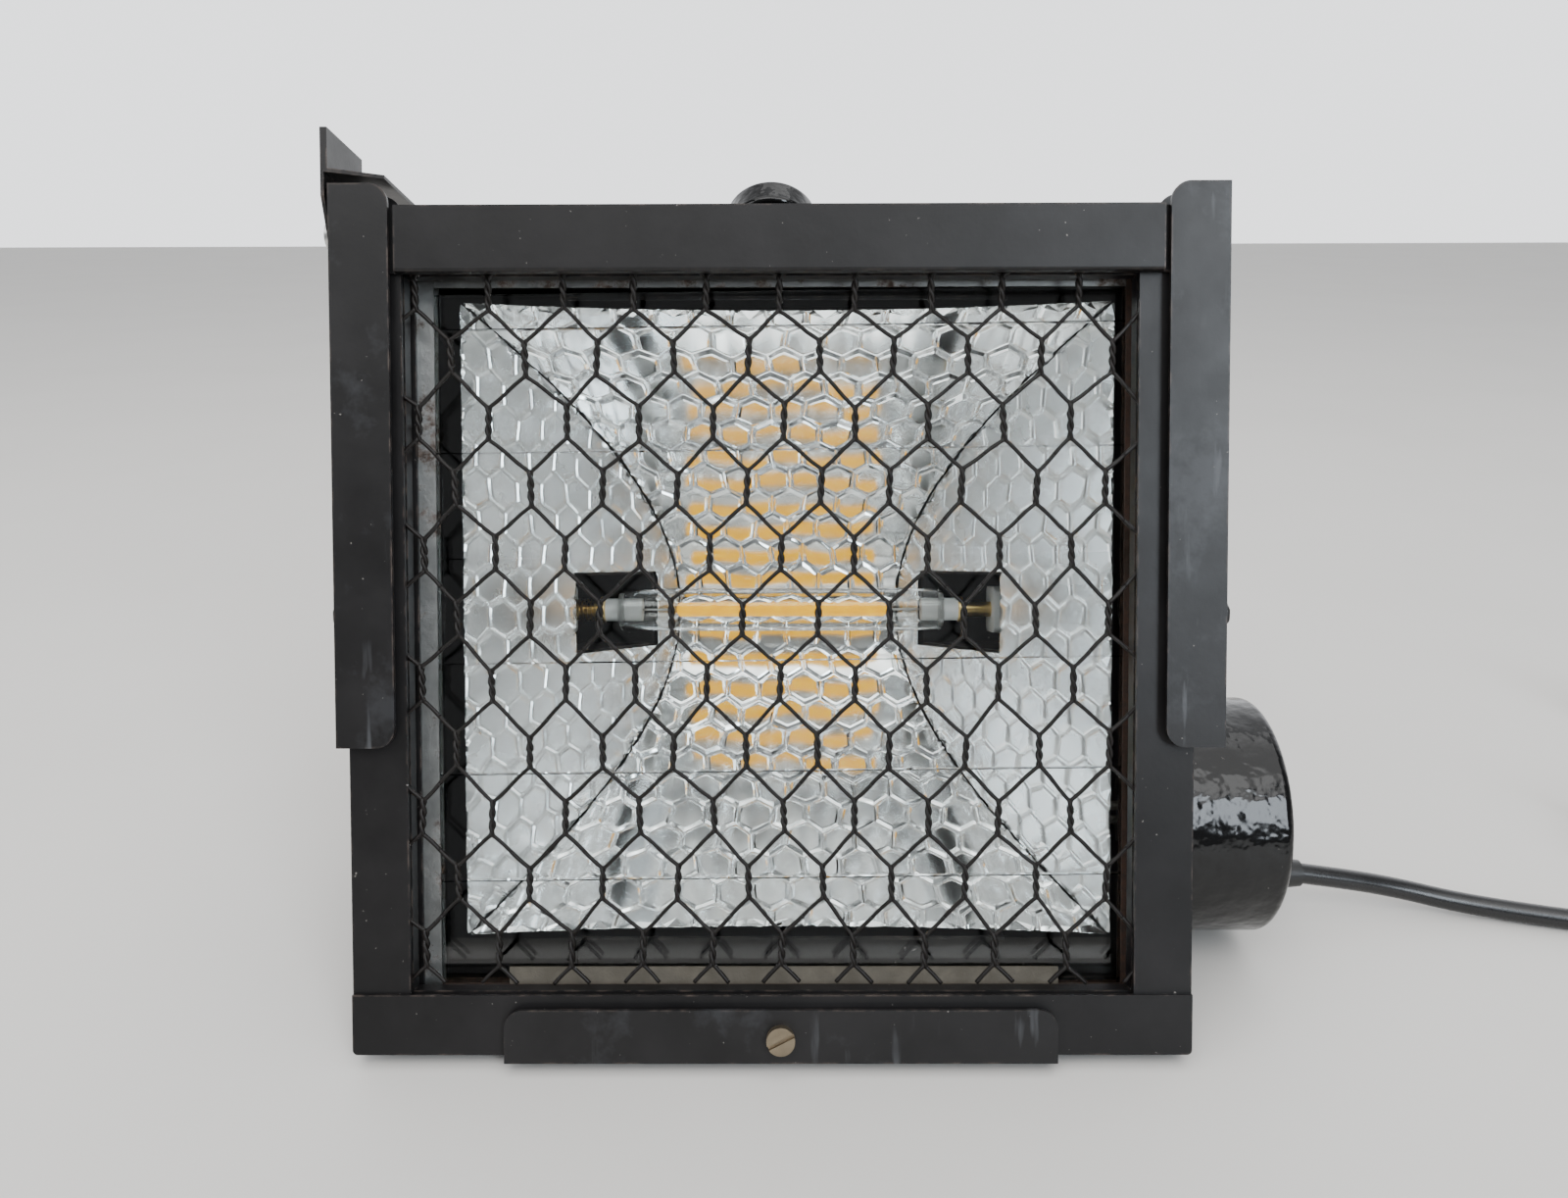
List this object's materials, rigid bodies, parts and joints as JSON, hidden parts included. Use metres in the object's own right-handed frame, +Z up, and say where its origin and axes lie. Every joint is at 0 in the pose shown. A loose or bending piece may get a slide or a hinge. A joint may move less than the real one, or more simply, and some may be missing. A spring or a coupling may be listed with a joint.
{
  "type": "theatre floodlight",
  "caption": "Small theatre floodlight: black sheet-steel box with wire guard, dimpled trough reflector, linear lamp, round terminal box, yoke and cord.",
  "frame": {"origin": "middle of the lamp's box (without gland, cord, coil and plug) at the table", "axes": "+X to the right of the lit face, -Y in front of it, +Z up"},
  "size_m": [0.5221, 0.2354, 0.2345],
  "materials": {
    "black_steel": "satin black stove enamel, worn at the edges",
    "black_runner": "satin black, scratched",
    "black_cast": "gloss black with an orange-peel surface",
    "plated_screw": "dull plated",
    "zinc_steel": "zinc plated",
    "galvanised": "galvanised, rust along the edges",
    "rusty_steel": "rusted",
    "mesh_wire": "dark painted, rust-brown",
    "reflector_aluminium": "hammered, bright",
    "end_aluminium": "satin with a faint dimple",
    "clear_glass": "clear, thin strips",
    "quartz": "clear quartz",
    "lit_filament": "glowing",
    "white_ceramic": "matt white",
    "spring_brass": "bright",
    "fibre_strip": "beige fibre",
    "black_plastic": "matt black",
    "cord_sheath": "smooth black",
    "lead_sleeve": "glass-fibre sleeve",
    "pale_ceramic": "matt"
  },
  "bodies": {
    "housing": {"housing_wrap": "black_steel", "side_panel_left": "black_steel", "side_panel_right": "black_steel", "front_collar": "black_steel", "rivets": "black_steel", "vent_cover": "black_steel", "runner_left": "black_runner", "runner_right": "black_runner", "bottom_lip": "black_runner", "lip_screw": "plated_screw", "latch_rivet": "zinc_steel", "glass_channel_left": "galvanised", "glass_channel_right": "rusty_steel", "glass_rail_top": "galvanised", "glass_rail_bottom": "rusty_steel", "glass_rest_strip": "fibre_strip", "glass_strips": "clear_glass", "reflector_trough": "reflector_aluminium", "reflector_end_left": "end_aluminium", "reflector_end_right": "end_aluminium", "reflector_brackets": "galvanised", "lampholder_box_left": "black_steel", "lampholder_box_right": "black_steel", "socket_block_left": "white_ceramic", "socket_block_right": "white_ceramic", "contact_right": "spring_brass", "contact_spring": "zinc_steel", "lamp_tube": "quartz", "lamp_filament": "lit_filament", "lamp_caps": "white_ceramic", "terminal_box": "black_cast", "terminal_lid": "black_cast", "lid_screws": "zinc_steel", "terminal_block": "pale_ceramic", "box_nipple": "zinc_steel", "gland_body": "black_plastic", "gland_tail": "black_plastic", "cord_run": "cord_sheath", "cord_coil": "cord_sheath", "cord_tie": "black_plastic", "plug_body": "black_plastic", "plug_pins": "spring_brass", "lead_live": "lead_sleeve", "lead_neutral": "lead_sleeve", "pivot_studs": "zinc_steel", "pivot_washers": "zinc_steel"},
    "latch": {"latch_plate": "black_runner"},
    "guard_frame": {"guard_bar_left": "black_steel", "guard_bar_right": "black_steel", "guard_bar_top": "black_steel", "guard_bar_bottom": "black_steel", "mesh_clamp_frame": "black_steel", "wire_mesh": "mesh_wire"},
    "yoke": {"yoke_stirrup": "black_steel", "suspension_bolt": "zinc_steel", "bolt_locknut": "zinc_steel"},
    "knob_left": {"tilt_knob_left": "black_plastic"},
    "knob_right": {"tilt_knob_right": "black_plastic"},
    "nut": {"hand_nut": "black_cast"},
    "contact": {"contact_left": "spring_brass"}
  },
  "joints": [
    {"name": "guard_lift", "type": "slide", "parent": "housing", "child": "guard_frame", "axis": [0, 0.3123, 0.95], "range_m": [0, 0.0055]},
    {"name": "latch_swing", "type": "hinge", "parent": "housing", "child": "latch", "pos_m": [-0.12375, -0.04062, 0.20754], "axis": [-1, 0, 0], "range_deg": [0, 40]},
    {"name": "yoke_tilt", "type": "hinge", "parent": "housing", "child": "yoke", "pos_m": [-0.00725, -0.03005, 0.0988], "axis": [-1, 0, 0], "range_deg": [-38, 58]},
    {"name": "knob_left_turn", "type": "hinge", "parent": "housing", "child": "knob_left", "pos_m": [-0.12725, -0.03005, 0.0988], "axis": [-1, 0, 0], "range_deg": [-90, 90]},
    {"name": "knob_right_turn", "type": "hinge", "parent": "housing", "child": "knob_right", "pos_m": [0.11275, -0.03005, 0.0988], "axis": [1, 0, 0], "range_deg": [-90, 90]},
    {"name": "hand_nut_turn", "type": "hinge", "parent": "yoke", "child": "nut", "pos_m": [-0.01125, 0.10474, 0.20564], "axis": [0, 0.7837, 0.6211], "continuous": true},
    {"name": "contact_press", "type": "slide", "parent": "housing", "child": "contact", "axis": [-1, 0, 0], "range_m": [0, 0.002], "stiffness_N_per_m": 1500, "springref_m": -0.004, "deforming": ["contact_spring"]}
  ]
}
